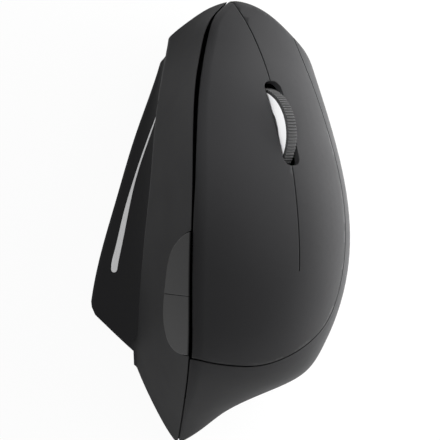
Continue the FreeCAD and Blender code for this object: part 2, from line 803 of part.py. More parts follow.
def make_palm_shells():
    """Palm side of the housing, parted into the lower shell, the hand rest cover and the two keys."""
    whole = layer(0.0, size("wall")).common(slab(size("rim_height"), FAR))
    lower = whole.cut(thumb_side(size("seam_gap"))).cut(cover_block(size("seam_gap"), size("key_clearance")))
    lower = lower.cut(lap_room(size("lap_gap")))
    shaped("palm_lower_shell", with_bosses(lower, PALM_BOSSES, 1))
    cover = whole.cut(thumb_side(0.0, opened=True)).common(cover_block(0.0, 0.0))
    root = KEY_ROOT * size("body_length") / 100.0
    shaped("palm_cover", cover.cut(ahead_of(root)))
    keys = cover.common(ahead_of(root)).cut(wheel_slot())
    half_gap = size("seam_gap / 2")
    add_key("left_key", keys.common(split_side(-half_gap)), size("left_switch_across"))
    add_key("right_key", keys.cut(split_side(half_gap)), size("right_switch_across"))


def add_key(label, key, across):
    """One key with the post that presses its switch."""
    foot = size("plunger_height + key_switch_height + press_gap - board_depth")
    post = bar(FINGER, across, size("key_switch_ahead"), size("post_radius"), foot, PAST_SKIN)
    shaped(label, key.fuse(post.common(body(size("wall / 2")))))


def make_inner_frame():
    """Spine under the ridge: a bent band on two legs, with two posts that hold the upper board."""
    top = size("wall + key_clearance")
    plate_top = size("feet_height + plate_thickness")
    skin = layer(top, size("wall + key_clearance + frame_wall")).common(slab(plate_top + LOWEST_BAND, FAR))
    skin = skin.cut(thumb_side(-size("frame_drop")))
    spine = skin.common(thumb_side(size("spine_reach")))
    wheel_room = brick(FINGER, WHEEL_ROOM_ACROSS, WHEEL_ROOM_ALONG, (-FAR, PAST_SKIN))
    shelf_end = ahead_of(SHELF_END * size("body_length") / 100.0)
    shelf = skin.common(thumb_side(size("frame_reach"))).cut(shelf_end).cut(wheel_room)
    button_room = button_block(size("flange_reach + seam_gap + fit_gap"), -size("button_room_depth"), FAR)
    frame = spine.fuse(shelf).cut(button_room)
    half_across = size("thumb_switch_width / 2 + fit_gap")
    half_along = size("thumb_switch_length / 2 + fit_gap")
    across = (THUMB_SWITCH_X - half_across, THUMB_SWITCH_X + half_across)
    for y in (-size("thumb_switch_spread"), size("thumb_switch_spread")):
        along = (y - half_along, y + half_along)
        frame = frame.cut(brick(THUMB, across, along, (-size("thumb_board_depth"), PAST_SKIN)))
    for x_share, y_share in LEG_PLACES:
        x, y = plan(x_share, y_share)
        half = size("leg_side / 2")
        reach = size("leg_length / 2")
        leg = brick(HERE, (x - half, x + half), (y - reach, y + reach), (plate_top, FAR))
        frame = frame.fuse(leg.common(body(size("wall + key_clearance + frame_wall / 2"))))
    gap = size("fit_gap * 2")
    heads = size("board_depth + board_thickness + screw_head_height") + gap
    across, along = ((low - gap, high + gap) for low, high in UPPER_BOARD)
    frame = frame.cut(brick(FINGER, across, along, (-heads, gap - size("board_depth"))))
    for x, y in HANGERS:
        post = bar(FINGER, x, y, size("column_radius"), -size("board_depth"), 0)
        frame = frame.fuse(post.common(body(size("wall + key_clearance + frame_wall / 2"))))
        hole = bar(FINGER, x, y, size("screw_radius"), -FAR, size("board_screw_length - board_depth"))
        frame = frame.cut(hole)
    shaped("inner_frame", frame)


def make_thumb_buttons():
    """Forward and back buttons: proud glossy caps, flanged behind the wall, with a post to each switch."""
    inside = size("wall + button_inside")
    skin = layer(-size("button_proud"), inside)
    cap = skin.common(button_block(0.0, -FAR, FAR))
    flange = layer(size("wall + fit_gap"), inside).common(button_block(size("flange_reach"), -FAR, FAR))
    both = cap.fuse(flange).common(thumb_side(-size("button_ridge_gap")))
    gap = size("button_split / 2")
    for name, y, limits in (("forward", 1, (gap, FAR)), ("back", -1, (-FAR, -gap))):
        button = both.common(brick(THUMB, (-FAR, FAR), limits, (-BODY_REACH, FAR)))
        along = y * size("thumb_switch_spread")
        foot = size("thumb_switch_height + plunger_height + press_gap - thumb_board_depth")
        post = bar(THUMB, THUMB_SWITCH_X, along, size("post_radius"), foot, PAST_SKIN)
        shaped(f"thumb_button_{name}", button.fuse(post.common(body(size("wall + fit_gap")))))


def make_accent_strip():
    """Satin silver strip, set flush into the thumb rest, without the crumb beyond its pointed end."""
    strip = layer(0.0, size("strip_thickness")).common(strip_block(0.0))
    shaped("accent_strip", max(strip.Solids, key=lambda solid: solid.Volume))


# Places of the inner pieces: in their board's frame in millimetres, or percent of width and length
THUMB_POST_X = -15.5
THUMB_POST_SPREAD = 9.0
THUMB_SWITCH_X = -1.0
LEG_PLACES = [(-5.0, 2.5), (-11.2, -30.0)]
LOWEST_BAND = 12.0
HANGERS = [(-16.0, -2.0), (-15.5, -15.0)]
WHEEL_ROOM_ACROSS = (-13.2, 12.0)
WHEEL_ROOM_ALONG = (-16.5, 22.0)
SHELF_END = 25.0
UPPER_BOARD = ((-17.6, 20.0), (-17.5, 20.4))
UPPER_BOARD_HOLE = ((-3.6, 3.6), (-12.4, 12.4))
THUMB_BOARD = ((-18.2, 2.0), (-12.6, 13.0))
MAIN_BOARD = [("-10.4", "-11"), ("6.6", "-11"), ("6.6", "15"), ("-5", "15"), ("-10.4", "8")]
CONTROLLER_AHEAD = 10.0
BOARD_COLUMNS = [(9.5, 17.0), (14.2, 0.2)]
BAY_PLACE = (15.2, -4.2)
SENSOR_PLACE = (0.0, 27.5)
RECEIVER_PLACE = (-13.0, -16.0)
POWER_PLACE = (-18.9, 8.3)
STANDOFFS = [(-12.6, 20.0), (6.6, 20.0), (6.6, 38.3)]
MIDDLE_SWITCH = (-9.4, -8.0)
# Flat cables: where each leaves its board, and where it meets the main board seen from the sensor
UPPER_RIBBON = ((6.0, 10.0, -2.3), (5.4, 5.0, 1.2))
THUMB_RIBBON = ((-14.5, 4.0, -1.6), (-8.8, -7.0, 3.8))
DOOR_GRIPS = 6
# Low-friction feet: middle place in percent, half length and half width in millimetres
FEET = [((4.0, 40.5), 11.0, 2.6), ((-16.0, -42.5), 2.8, 4.4), ((-32.5, 3.5), 2.4, 7.5),
        ((35.2, -4.5), 1.7, 9.0)]


def make_wheel():
    """Scroll wheel: white core with a web, rubber ring, steel axle."""
    centre = FINGER.multiply(Placement(Vector(0, 0, size("wheel_proud - wheel_radius")),
                                       Rotation(FORWARD, 90)))
    half = "wheel_width / 2"
    rim = "wheel_radius - tyre_depth"
    web_top = f"web_offset + web_thickness - {half}"
    turned("wheel_core", [
        ("axle_radius", f"-{half}"), ("hub_radius", f"-{half}"), ("hub_radius", f"web_offset - {half}"),
        (f"{rim} - rim_depth", f"web_offset - {half}"), (f"{rim} - rim_depth", f"-{half}"), (rim, f"-{half}"),
        (rim, half), (f"{rim} - rim_depth / 2", half), (f"{rim} - rim_depth / 2", web_top),
        ("hub_radius", web_top), ("hub_radius", half), ("axle_radius", half)], centre)
    turned("wheel_tyre", [
        (rim, f"-{half}"), ("wheel_radius - tyre_shoulder", f"-{half}"),
        ("wheel_radius", f"tyre_shoulder * 2 - {half}"), ("wheel_radius", f"{half} - tyre_shoulder * 2"),
        ("wheel_radius - tyre_shoulder", half), (rim, half)], centre)
    cheek = "wheel_width / 2 + carrier_gap + carrier_wall"
    far_end = f"{cheek} + encoder_thickness"
    turned("wheel_axle", [("0", f"-({cheek})"), ("axle_radius", f"-({cheek})"), ("axle_radius", far_end),
                          ("0", far_end)], centre)


def make_carrier():
    """Cradle that holds the wheel's axle, slides on two pins in the board and presses the middle switch."""
    inner = size("wheel_width / 2 + carrier_gap")
    outer = inner + size("carrier_wall")
    half = size("carrier_half")
    end = half - size("rail_height")
    board_top = -size("board_depth")
    low = board_top + size("carrier_ride")
    rail_top = low + size("rail_height")
    axle = size("wheel_proud - wheel_radius")
    cradle = brick(FINGER, (-outer, outer), (-half, half), (low, rail_top))
    cradle = cradle.cut(brick(FINGER, (-inner, inner), (-end, end), (low - 1, rail_top + 1)))
    for side in (-1, 1):
        limits = sorted((side * inner, side * outer))
        along = (-size("cheek_half"), size("cheek_half"))
        cheek = brick(FINGER, limits, along, (low, axle + size("cheek_above")))
        cradle = cradle.fuse(cheek)
    switch_top = board_top + size("small_switch_height + plunger_height")
    arm_low = switch_top + size("press_gap")
    arm_limits = (MIDDLE_SWITCH[1] - size("arm_half"), MIDDLE_SWITCH[1] + size("arm_half"))
    arm_top = arm_low + size("carrier_wall")
    arm = brick(FINGER, (MIDDLE_SWITCH[0] - size("arm_reach"), -inner), arm_limits, (arm_low, arm_top))
    riser = brick(FINGER, (-outer, -inner), arm_limits, (low, arm_top))
    cradle = cradle.fuse(arm).fuse(riser)
    middle = (inner + outer) / 2.0
    for side in (-1, 1):
        along = -side * (half - size("pin_inset"))
        pin = bar(FINGER, side * middle, along, size("pin_radius"), board_top - size("pin_below"), rail_top)
        cradle = cradle.fuse(pin)
    bore = Part.makeCylinder(size("axle_radius + bearing_gap"), 4 * outer, Vector(-2 * outer, 0, axle),
                             Vector(1, 0, 0))
    bore.Placement = FINGER
    shaped("wheel_carrier", cradle.cut(bore))
    side = size("encoder_side")
    case = brick(FINGER, (outer, outer + size("encoder_thickness")), (-side / 2, side / 2),
                 (axle - side / 2, axle + side / 2))
    shaped("scroll_encoder", case.cut(bore))


def make_switch(name, frame, x, y, kind):
    """Microswitch on a board's face in a frame, and the plunger that slides in it."""
    hole = "plunger_side / 2 + bearing_gap"
    place = frame.multiply(Placement(Vector(x, y, 0), Rotation()))
    padded(f"{name}_switch", [
        rectangle(f"-{kind}_width / 2", f"{kind}_width / 2", f"-{kind}_length / 2", f"{kind}_length / 2"),
        rectangle(f"-({hole})", hole, f"-({hole})", hole)], f"{kind}_height", place)
    block(f"{name}_plunger", "plunger_side", "plunger_side", "plunger_height + plunger_depth", place, 0, 0,
          size(f"{kind}_height - plunger_depth"))


def make_upper_board():
    """Board under the keys, parallel to them, with its switches."""
    top = -size("board_depth")
    bottom = top - size("board_thickness")
    pin = size("wheel_width / 2 + carrier_gap + carrier_wall / 2")
    half = size("carrier_half - pin_inset")
    board = brick(FINGER, *UPPER_BOARD, (bottom, top))
    board = board.cut(brick(FINGER, *UPPER_BOARD_HOLE, (bottom - 1, top + 1)))
    for side in (-1, 1):
        board = board.cut(bar(FINGER, side * pin, -side * half, size("pin_radius + bearing_gap"), -FAR, FAR))
    for x, y in HANGERS + BOARD_COLUMNS:
        board = board.cut(bar(FINGER, x, y, size("screw_radius + bearing_gap"), -FAR, 0))
    shaped("upper_board", board.common(body(size("wall + key_clearance + frame_wall + fit_gap"))))
    face = FINGER.multiply(Placement(Vector(0, 0, top), Rotation()))
    for name in ("left", "right"):
        make_switch(name, face, size(f"{name}_switch_across"), size("key_switch_ahead"), "key_switch")
    make_switch("middle", face, *MIDDLE_SWITCH, "small_switch")


def make_thumb_board():
    """Board behind the thumb buttons with its two switches."""
    top = -size("thumb_board_depth")
    bottom = top - size("board_thickness")
    board = brick(THUMB, *THUMB_BOARD, (bottom, top))
    for y in (-THUMB_POST_SPREAD, THUMB_POST_SPREAD):
        board = board.cut(bar(THUMB, THUMB_POST_X, y, size("screw_radius + bearing_gap"), -FAR, 0))
    shaped("thumb_board", board)
    face = THUMB.multiply(Placement(Vector(0, 0, top), Rotation()))
    for side, name in ((1, "forward"), (-1, "back")):
        make_switch(name, face, THUMB_SWITCH_X, side * size("thumb_switch_spread"), "thumb_switch")


def make_main_board():
    """Board on the base plate with the sensor, its lens and the controller."""
    low = size("feet_height + plate_thickness + standoff")
    sensor_x, sensor_y = plan(*SENSOR_PLACE)
    frame = Placement(Vector(sensor_x, sensor_y, low), Rotation())
    view_hole = rectangle("-lens_length / 4", "lens_length / 4", "-lens_width / 4", "lens_width / 4")
    padded("main_board", [MAIN_BOARD, view_hole], "board_thickness", frame)
    top = size("board_thickness")
    block("sensor_chip", "sensor_length", "sensor_width", "sensor_height", frame, 0, 0, top)
    block("controller_chip", "chip_side", "chip_side", "chip_height", frame, 0, CONTROLLER_AHEAD, top)
    lens = brick(HERE, (-size("lens_length / 2"), size("lens_length / 2")),
                 (-size("lens_width / 2"), size("lens_width / 2")), (size("feet_height + fit_gap"), low))
    lens.translate(Vector(sensor_x, sensor_y, 0))
    eye_top = size("feet_height + fit_gap + lens_eye_depth")
    eye = column(sensor_x, sensor_y, size("lens_eye_radius"), 0, eye_top)
    shaped("sensor_lens", lens.cut(eye))


def ribbon(label, start, end, across):
    """Flat cable from one board to another."""
    run = end - start
    frame = frame_at(start, run.normalize(), across)
    length = (end - start).Length
    half = size("ribbon_width / 2")
    thin = size("ribbon_thickness / 2")
    shaped(label, brick(frame, (-thin, thin), (-half, half), (0, length)))


def make_ribbons():
    """Flat cables from the main board to the two others."""
    sensor_x, sensor_y = plan(*SENSOR_PLACE)
    board = Vector(sensor_x, sensor_y, size("feet_height + plate_thickness + standoff + board_thickness"))
    upper_back = Vector(0, 0, -size("board_depth + board_thickness"))
    thumb_back = Vector(0, 0, -size("thumb_board_depth + board_thickness"))
    start, end = (Vector(*place) for place in UPPER_RIBBON)
    ribbon("upper_ribbon", FINGER.multVec(upper_back + start), board + end, FORWARD)
    start, end = (Vector(*place) for place in THUMB_RIBBON)
    ribbon("thumb_ribbon", THUMB.multVec(thumb_back + start), board + end, UP)


def bay_frame():
    """Frame in the middle of the battery bay, on the door's upper face."""
    x, y = plan(*BAY_PLACE)
    return Placement(Vector(x, y, size("feet_height + door_thickness")), Rotation())


def bay_half():
    """Half the width and half the length of the bay's opening."""
    half_width = size("cell_pitch / 2 + cell_radius + cell_side_gap")
    half_length = size("cell_length / 2 + contact_gap + contact_thickness + cell_nub / 2")
    return half_width, half_length


def make_base_plate():
    """Plate under the whole mouse: battery bay, receiver pocket, board columns, standoffs and screw holes."""
    low = size("feet_height")
    top = size("feet_height + plate_thickness")
    limit = body(size("wall + fit_gap"))
    plate = limit.common(slab(low, top))
    bay = bay_frame()
    half_width, half_length = bay_half()
    wall = size("bay_wall")
    outer = brick(bay, (-half_width - wall, half_width + wall), (-half_length - wall, half_length + wall),
                  (size("join"), size("bay_height")))
    inner = brick(bay, (-half_width, half_width), (-half_length, half_length), (-FAR, FAR))
    plate = plate.fuse(outer.common(limit)).cut(inner)
    pocket = receiver_pocket(0.0)
    plate = plate.fuse(receiver_pocket(size("pocket_wall")).common(limit)).cut(pocket)
    for x, y in BOARD_COLUMNS:
        foot = FINGER.multVec(Vector(x, y, -size("board_depth + board_thickness")))
        rise = column(foot.x, foot.y, size("column_radius"), low + size("join"), FAR)
        under_board = brick(FINGER, (-FAR, FAR), (-FAR, FAR), (-FAR, -size("board_depth + board_thickness")))
        plate = plate.fuse(rise.common(under_board).common(limit))
        depth = size("board_depth + board_screw_length")
        plate = plate.cut(bar(FINGER, x, y, size("screw_radius"), -depth, 0))
    for x, y in STANDOFFS:
        x, y = plan(x, y)
        plate = plate.fuse(column(x, y, size("standoff_radius"), top - size("join"), top + size("standoff")))
    sensor_x, sensor_y = plan(*SENSOR_PLACE)
    gap = size("fit_gap")
    window = brick(HERE, (-size("lens_length / 2") - gap, size("lens_length / 2") + gap),
                   (-size("lens_width / 2") - gap, size("lens_width / 2") + gap), (-1, top + 1))
    window.translate(Vector(sensor_x, sensor_y, 0))
    plate = plate.cut(window).cut(power_slot())
    sink = low + size("screw_sink + screw_head_height")
    for place in PALM_BOSSES + THUMB_BOSSES:
        x, y = plan(*place)
        plate = plate.cut(column(x, y, size("screw_radius + fit_gap"), -1, top + 1))
        plate = plate.cut(column(x, y, size("screw_head_radius + fit_gap"), -1, sink))
    shaped("base_plate", plate)


def receiver_pocket(grow):
    """The pocket that the receiver sits in, or its outside when grown."""
    x, y = plan(*RECEIVER_PLACE)
    gap = size("pocket_gap") + grow
    half = size("receiver_width / 2") + gap
    long = size("(receiver_length + plug_length) / 2") + gap
    low = -1 if grow == 0 else size("feet_height + join")
    top = size("feet_height + fit_gap + receiver_height") + gap
    return brick(HERE, (x - half, x + half), (y - long, y + long), (low, top))


def power_slot():
    """Slot in the base plate for the power switch's knob and its travel."""
    x, y = plan(*POWER_PLACE)
    half = size("knob_width / 2 + fit_gap")
    long = size("(knob_length + knob_travel) / 2 + fit_gap")
    top = size("feet_height + plate_thickness + 1")
    return brick(HERE, (x - half, x + half), (y - long, y + long), (-1, top))


def make_batteries():
    """Two cells side by side, pointing opposite ways, with their contacts and the door under them."""
    bay = bay_frame()
    half_width, half_length = bay_half()
    cell_up = size("cell_radius + cell_floor_gap")
    half = size("cell_length / 2")
    for side, name, turn in ((-1, "left", 0), (1, "right", 180)):
        lying = Placement(Vector(side * size("cell_pitch / 2"), 0, cell_up), Rotation(UP, turn))
        frame = bay.multiply(lying).multiply(Placement(Vector(0, -half, 0), Rotation(Vector(1, 0, 0), -90)))
        turned(f"battery_{name}", [
            ("0", "0"), ("cell_radius - 0.4", "0"), ("cell_radius", "0.4"),
            ("cell_radius", "cell_length - cell_nub - 0.5"), ("cell_radius - 0.5", "cell_length - cell_nub"),
            ("cell_nub_radius", "cell_length - cell_nub"), ("cell_nub_radius", "cell_length"),
            ("0", "cell_length")], frame)
    thickness = size("contact_thickness")
    leaf_half = size("leaf_half")
    solids = []
    for end in (-1, 1):
        for side in (-1, 1):
            x = side * size("cell_pitch / 2")
            limits = sorted((end * half_length, end * (half_length - thickness)))
            across = size("contact_half_width")
            heights = (size("contact_foot"), size("bay_height - contact_top_gap"))
            plate = brick(bay, (x - across, x + across), limits, heights)
            reach = sorted((end * (half_length - thickness), end * half))
            heights = (cell_up - leaf_half, cell_up + leaf_half)
            leaf = brick(bay, (x - leaf_half, x + leaf_half), reach, heights)
            solids.append(plate.fuse(leaf))
    shaped("battery_contacts", Part.makeCompound(solids))
    gap = size("door_gap")
    door = brick(bay, (-half_width + gap, half_width - gap), (-half_length + gap, half_length - gap),
                 (-size("door_thickness"), 0))
    for step in range(DOOR_GRIPS):
        y = -half_length + size("grip_start") + step * size("grip_pitch")
        across = size("grip_half_length")
        heights = (-FAR, size("grip_depth - door_thickness"))
        door = door.cut(brick(bay, (-across, across), (y, y + size("grip_width")), heights))
    shaped("battery_door", door)


def make_receiver():
    """Nano receiver in its pocket: moulded body and metal plug."""
    x, y = plan(*RECEIVER_PLACE)
    low = size("feet_height + fit_gap")
    long = size("(receiver_length + plug_length) / 2")
    frame = Placement(Vector(x, y, low), Rotation())
    block("receiver_body", "receiver_width", "receiver_length", "receiver_height", frame, 0,
          size("receiver_length / 2") - long, 0)
    block("receiver_plug", "plug_width", "plug_length", "plug_height", frame, 0,
          long - size("plug_length / 2"), size("(receiver_height - plug_height) / 2"))


def make_power_switch():
    """Slide switch on the base plate, its knob showing through the slot."""
    x, y = plan(*POWER_PLACE)
    top = size("feet_height + plate_thickness")
    frame = Placement(Vector(x, y, 0), Rotation())
    block("power_switch_body", "power_width", "power_length", "power_height", frame, 0, 0, top)
    block("power_switch_knob", "knob_width", "knob_length", "plate_thickness - fit_gap", frame, 0,
          -size("knob_travel / 2"), size("feet_height + fit_gap"))


def make_feet():
    """Four low-friction pads under the base plate."""
    limit = body(size("wall + 1"))
    pads = []
    for place, half_x, half_y in FEET:
        x, y = plan(*place)
        pad = brick(HERE, (x - half_x, x + half_x), (y - half_y, y + half_y), (0, size("feet_height")))
        upright_edges = [edge for edge in pad.Edges if abs(edge.tangentAt(edge.FirstParameter).z) > 0.9]
        pads.append(pad.makeFillet(0.9 * min(half_x, half_y), upright_edges).common(limit))
    shaped("glide_feet", Part.makeCompound([solid for pad in pads for solid in pad.Solids]))


def screw(frame, x, y, head, tip):
    """Pan-head screw along a frame's Z, from the head's outer face to the tip."""
    turn = 1 if tip > head else -1
    under = head + turn * size("screw_head_height")
    cap = bar(frame, x, y, size("screw_head_radius"), min(head, under), max(head, under))
    shank = bar(frame, x, y, size("screw_radius"), min(under, tip), max(under, tip))
    cross = sorted((head, head + turn * size("cross_depth")))
    long, short = size("cross_reach"), size("cross_half")
    for half_x, half_y in ((long, short), (short, long)):
        cap = cap.cut(brick(frame, (x - half_x, x + half_x), (y - half_y, y + half_y), cross))
    return cap.fuse(shank)


def make_screws():
    """The screws of the base plate, and the small ones of the boards."""
    low = size("feet_height + screw_sink")
    places = [plan(*place) for place in PALM_BOSSES + THUMB_BOSSES]
    shaped("base_screws", Part.makeCompound([screw(HERE, x, y, low, size("screw_top")) for x, y in places]))
    upper_top = -size("board_depth")
    upper_low = upper_top - size("board_thickness")
    head = size("screw_head_height")
    length = size("board_screw_length")
    solids = [screw(FINGER, x, y, upper_low - head, upper_top + length) for x, y in HANGERS]
    solids += [screw(FINGER, x, y, upper_top + head, upper_top - length) for x, y in BOARD_COLUMNS]
    inner = -size("thumb_board_depth + board_thickness")
    solids += [screw(THUMB, THUMB_POST_X, y, inner - head, inner + size("board_thickness") + length)
               for y in (-THUMB_POST_SPREAD, THUMB_POST_SPREAD)]
    shaped("board_screws", Part.makeCompound(solids))


def faults(things):
    """Sub-parts and features that did not come out as sound solids."""
    found = [thing.Label for thing in doc.Objects if {"Invalid", "Error"} & set(thing.State)]
    for thing in things:
        shape = thing.Shape
        if shape.isNull() or not shape.isValid() or not shape.Solids:
            found.append(thing.Label)
    return found


def main():
    """Build every sub-part, check it and write it out."""
    make_thumb_shell()
    make_palm_shells()
    make_inner_frame()
    make_thumb_buttons()
    make_accent_strip()
    make_wheel()
    make_carrier()
    make_upper_board()
    make_thumb_board()
    make_main_board()
    make_ribbons()
    make_base_plate()
    make_batteries()
    make_receiver()
    make_power_switch()
    make_feet()
    make_screws()
    doc.recompute()
    broken = faults(parts)
    if broken:
        raise SystemExit("unsound: " + ", ".join(broken))
    os.makedirs("parts", exist_ok=True)
    for part in parts:
        part.Shape.exportStep(f"parts/{part.Label}.step")
        print(f"{part.Label}: {len(part.Shape.Solids)} solids, {part.Shape.Volume:.1f} mm3")


if __name__ == "__main__":
    main()
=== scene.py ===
"""Looks of a vertical wireless mouse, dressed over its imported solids.

+Y to the nose, +X to the palm side, +Z up, the origin on the table under the middle. Lengths are in metres,
except where a name or its description says millimetres.
"""

import json
import logging
import math
from dataclasses import dataclass, field
from enum import Enum

import bmesh
import bpy
from mathutils import Matrix, Vector

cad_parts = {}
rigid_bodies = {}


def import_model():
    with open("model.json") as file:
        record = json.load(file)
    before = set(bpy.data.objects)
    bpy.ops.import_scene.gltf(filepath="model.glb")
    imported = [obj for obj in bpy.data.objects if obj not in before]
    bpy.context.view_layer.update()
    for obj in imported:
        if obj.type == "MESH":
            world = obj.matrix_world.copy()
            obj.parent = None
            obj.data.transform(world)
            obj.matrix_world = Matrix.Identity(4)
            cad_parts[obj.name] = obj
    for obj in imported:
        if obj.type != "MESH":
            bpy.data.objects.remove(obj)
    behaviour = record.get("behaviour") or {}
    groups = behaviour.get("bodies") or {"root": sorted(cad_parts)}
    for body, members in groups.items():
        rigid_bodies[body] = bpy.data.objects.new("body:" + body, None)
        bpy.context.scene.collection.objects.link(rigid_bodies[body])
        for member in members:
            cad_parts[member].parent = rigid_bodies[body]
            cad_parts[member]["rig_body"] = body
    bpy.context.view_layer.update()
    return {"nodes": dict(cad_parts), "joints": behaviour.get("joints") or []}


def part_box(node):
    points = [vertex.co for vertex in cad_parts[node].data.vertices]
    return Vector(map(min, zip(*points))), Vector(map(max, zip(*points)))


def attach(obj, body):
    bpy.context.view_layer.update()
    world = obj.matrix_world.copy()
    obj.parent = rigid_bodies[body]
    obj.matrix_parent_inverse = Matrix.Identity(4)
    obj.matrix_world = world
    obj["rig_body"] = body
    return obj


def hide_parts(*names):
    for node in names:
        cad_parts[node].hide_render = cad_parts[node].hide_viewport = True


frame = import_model()
log = logging.getLogger("vertical_mouse")

Point = tuple[float, float, float]
Colour = tuple[float, float, float, float]

MM = 0.001
AHEAD = Vector((0.0, 1.0, 0.0))
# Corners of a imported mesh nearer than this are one, in millimetres
MERGE_MM = 0.0005
# Attribute that is 1 where a piece goes on without a visible edge into its neighbour
UNBROKEN = "unbroken"
# How far before a piece's end its corners still count as at the end, in millimetres
UNBROKEN_MM = 0.05
# Octaves and roughness of the noise that makes a surface's grain
GRAIN_DETAIL = 2.0
GRAIN_ROUGHNESS = 0.55
# Patches between which the roughness wanders: size in millimetres, octaves, the noise's usual range
PATCH_MM = 14.0
PATCH_DETAIL = 3.0
PATCH_RANGE = (0.3, 0.7)
# Rays with which the shader looks for an edge nearby
EDGE_SAMPLES = 6


class Side(Enum):
    """Side of a place along Y, as the comparison that is true there."""

    AHEAD = "GREATER_THAN"
    BEHIND = "LESS_THAN"


# Nodes and materials
def srgb(code: str) -> Colour:
    """Turns an sRGB hex colour into the linear one that shaders take.

    Args:
        code: six hex digits, with or without the sign before them.

    Returns:
        Red, green, blue and a full alpha.
    """
    digits = code.lstrip("#")
    parts = [int(digits[i:i + 2], 16) / 255.0 for i in (0, 2, 4)]
    # The numbers are those of the sRGB standard
    linear = [p / 12.92 if p <= 0.04045 else ((p + 0.055) / 1.055) ** 2.4 for p in parts]
    return linear[0], linear[1], linear[2], 1.0


WHITE = srgb("#ffffff")


def add(tree: bpy.types.NodeTree, kind: str, links: dict | None = None,
        **settings: object) -> bpy.types.Node:
    """Adds one node to a tree, with its settings and links.

    Args:
        tree: the shader or geometry tree.
        kind: the node's type name.
        links: input socket name or number to either a value or an output socket.
        **settings: the node's own attributes.

    Returns:
        The new node.
    """
    node = tree.nodes.new(kind)
    for key, value in settings.items():
        setattr(node, key, value)
    for key, value in (links or {}).items():
        if isinstance(value, bpy.types.NodeSocket):
            tree.links.new(value, node.inputs[key])
        else:
            node.inputs[key].default_value = value
    return node


def new_material(name: str) -> bpy.types.Material:
    """Makes a material whose tree is still empty.

    Args:
        name: the material's name.

    Returns:
        The material.
    """
    made = bpy.data.materials.new(name)
    made.use_nodes = True
    made.node_tree.nodes.clear()
    return made


@dataclass(frozen=True)
class Finish:
    """A moulded, painted or metal surface: one shader with a fine grain in its roughness and relief.

    Attributes:
        name: the material's name, after what the real one is.
        colour: sRGB hex colour.
        roughness: middle of the roughness.
        metallic: 1 for bare metal.
        ior: index of refraction, for what is no metal.
        coat: weight of a clear layer.
        coat_roughness: roughness of that layer.
        transmission: 1 for a clear plastic.
        grain_mm: size of the surface's grain.
        relief_mm: height of the grain.
        mottle: how far the roughness wanders over the surface.
        edge_mm: radius that sharp edges seem to have.
    """

    name: str
    colour: str
    roughness: float
    metallic: float = 0.0
    ior: float = 1.5
    coat: float = 0.0
    coat_roughness: float = 0.1
    transmission: float = 0.0
    grain_mm: float = 0.3
    relief_mm: float = 0.004
    mottle: float = 0.03
    edge_mm: float = 0.25

    def material(self) -> bpy.types.Material:
        """Builds the material once, and hands out the same one after that.

        Returns:
            The material.
        """
        known = bpy.data.materials.get(self.name)
        if known:
            return known
        made = new_material(self.name)
        shader = self.shader(made.node_tree)
        add(made.node_tree, "ShaderNodeOutputMaterial", {"Surface": shader.outputs["BSDF"]})
        return made

    def wandering_roughness(self, tree: bpy.types.NodeTree,
                            place: bpy.types.NodeSocket) -> bpy.types.NodeSocket:
        """The roughness, a little higher or lower from patch to patch.

        Args:
            tree: the material's tree.
            place: socket of the surface's own coordinates.

        Returns:
            The socket of the roughness.
        """
        patches = add(tree, "ShaderNodeTexNoise", {
            "Vector": place, "Scale": 1.0 / (PATCH_MM * MM), "Detail": PATCH_DETAIL})
        low, high = PATCH_RANGE
        return add(tree, "ShaderNodeMapRange", {
            "Value": patches.outputs["Fac"], "From Min": low, "From Max": high,
            "To Min": self.roughness - self.mottle, "To Max": self.roughness + self.mottle}).outputs["Result"]

    def grained_normal(self, tree: bpy.types.NodeTree, place: bpy.types.NodeSocket) -> bpy.types.NodeSocket:
        """The surface's direction with the grain's relief, edges seemingly rounded where they are visible.

        Args:
            tree: the material's tree.
            place: socket of the surface's own coordinates.

        Returns:
            The socket of the direction.
        """
        grain = add(tree, "ShaderNodeTexNoise", {
            "Vector": place, "Scale": 1.0 / (self.grain_mm * MM), "Detail": GRAIN_DETAIL,
            "Roughness": GRAIN_ROUGHNESS})
        unbroken = add(tree, "ShaderNodeAttribute", attribute_name=UNBROKEN)
        radius = add(tree, "ShaderNodeMapRange", {
            "Value": unbroken.outputs["Fac"], "To Min": self.edge_mm * MM, "To Max": 0.0})
        edge = add(tree, "ShaderNodeBevel", {"Radius": radius.outputs["Result"]}, samples=EDGE_SAMPLES)
        return add(tree, "ShaderNodeBump", {
            "Height": grain.outputs["Fac"], "Distance": self.relief_mm * MM, "Strength": 1.0,
            "Normal": edge.outputs["Normal"]}).outputs["Normal"]

    def shader(self, tree: bpy.types.NodeTree) -> bpy.types.Node:
        """Builds the shader with its grain.

        Args:
            tree: the material's tree.

        Returns:
            The shader node.
        """
        place = add(tree, "ShaderNodeTexCoord").outputs["Object"]
        return add(tree, "ShaderNodeBsdfPrincipled", {
            "Base Color": srgb(self.colour),
            "Metallic": self.metallic,
            "IOR": self.ior,
            "Roughness": self.wandering_roughness(tree, place),
            "Coat Weight": self.coat,
            "Coat Roughness": self.coat_roughness,
            "Transmission Weight": self.transmission,
            "Normal": self.grained_normal(tree, place)})


